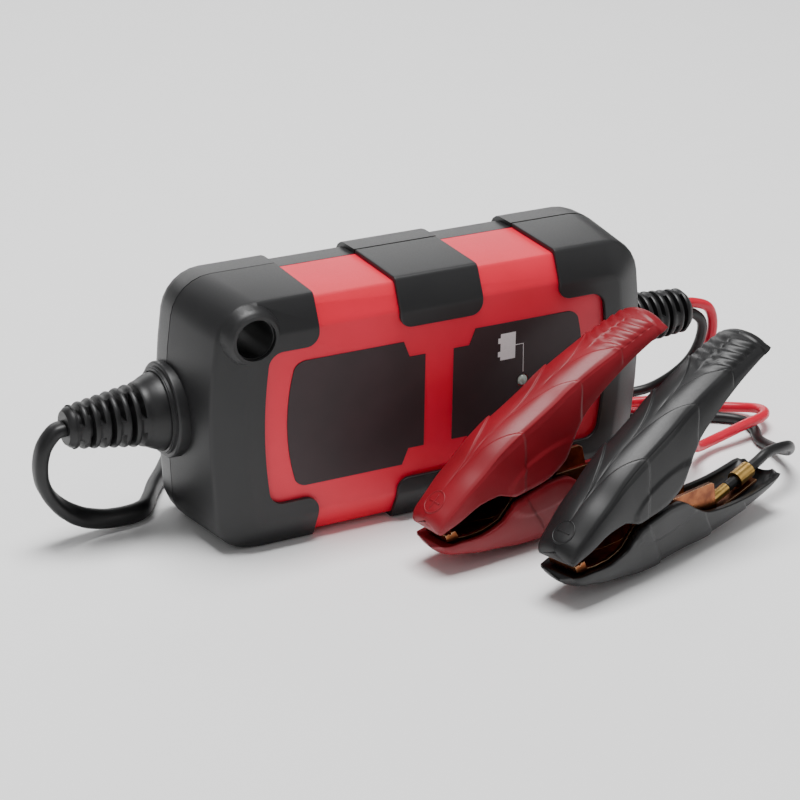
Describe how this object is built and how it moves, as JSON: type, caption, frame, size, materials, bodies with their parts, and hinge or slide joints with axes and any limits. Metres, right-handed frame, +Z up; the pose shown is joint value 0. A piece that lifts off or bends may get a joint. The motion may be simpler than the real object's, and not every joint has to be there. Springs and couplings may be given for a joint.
{
  "type": "car battery charger",
  "caption": "Compact moulded battery charger with corner bumpers, a hanging eye, a coiled mains cable with a plug, and red and black leads that end in sprung crocodile clips",
  "frame": {"origin": "middle of the housing's underside, on the surface that the charger stands on", "axes": "+X along the housing towards the low-voltage leads, -Y out of the front face, +Z up"},
  "size_m": [0.2082, 0.2121, 0.065],
  "materials": {
    "red_abs": "satin moulded",
    "black_abs": "satin moulded",
    "print_film": "satin print",
    "clear_lens": "polished",
    "black_pvc": "matt",
    "zinc_steel": "zinc plated",
    "board": "solder mask",
    "core_steel": "varnished laminations",
    "winding": "tape",
    "sleeve_pvc": "shrink sleeve",
    "aluminium": "extruded",
    "nickel_brass": "nickel plated",
    "red_pvc": "satin",
    "red_clip": "satin moulded",
    "black_clip": "satin moulded",
    "copper_plate": "copper plated",
    "spring_steel": "drawn wire",
    "crimp_brass": "plain"
  },
  "bodies": {
    "charger": {"front_case": "red_abs", "rear_case": "black_abs", "left_bumper": "black_abs", "right_bumper": "black_abs", "upper_band": "black_abs", "lower_band": "black_abs", "hanging_sleeve": "black_abs", "left_label_panel": "print_film", "right_label_panel": "print_film", "indicator_lens": "clear_lens", "mains_collar": "black_abs", "mains_boot": "black_pvc", "lead_boot": "black_pvc", "case_screws": "zinc_steel", "circuit_board": "board", "transformer_core": "core_steel", "transformer_winding": "winding", "capacitors": "sleeve_pvc", "heat_sink": "aluminium", "mains_cable": "black_pvc", "mains_coil": "black_pvc", "mains_tail": "black_pvc", "plug_body": "black_pvc", "plug_pins": "nickel_brass", "red_lead": "red_pvc", "black_lead": "black_pvc", "red_lower_cover": "red_clip", "red_lower_jaw": "copper_plate", "red_pivot_pin": "zinc_steel", "red_spring": "spring_steel", "red_crimps": "crimp_brass", "black_lower_cover": "black_clip", "black_lower_jaw": "copper_plate", "black_pivot_pin": "zinc_steel", "black_spring": "spring_steel", "black_crimps": "crimp_brass"},
    "red_upper_half": {"red_upper_cover": "red_clip", "red_upper_jaw": "copper_plate"},
    "black_upper_half": {"black_upper_cover": "black_clip", "black_upper_jaw": "copper_plate"}
  },
  "joints": [
    {"name": "red_clip_pivot", "type": "hinge", "parent": "charger", "child": "red_upper_half", "pos_m": [0.01409, -0.03811, 0.0187], "axis": [-0.165, 0.9863, 0], "range_deg": [0, 40], "stiffness_Nm_per_rad": 0.25, "springref_deg": -20.05, "deforming": ["red_spring"]},
    {"name": "black_clip_pivot", "type": "hinge", "parent": "charger", "child": "black_upper_half", "pos_m": [0.03124, -0.06294, 0.01837], "axis": [-0.3123, 0.95, 0], "range_deg": [0, 40], "stiffness_Nm_per_rad": 0.25, "springref_deg": -20.05, "deforming": ["black_spring"]}
  ]
}
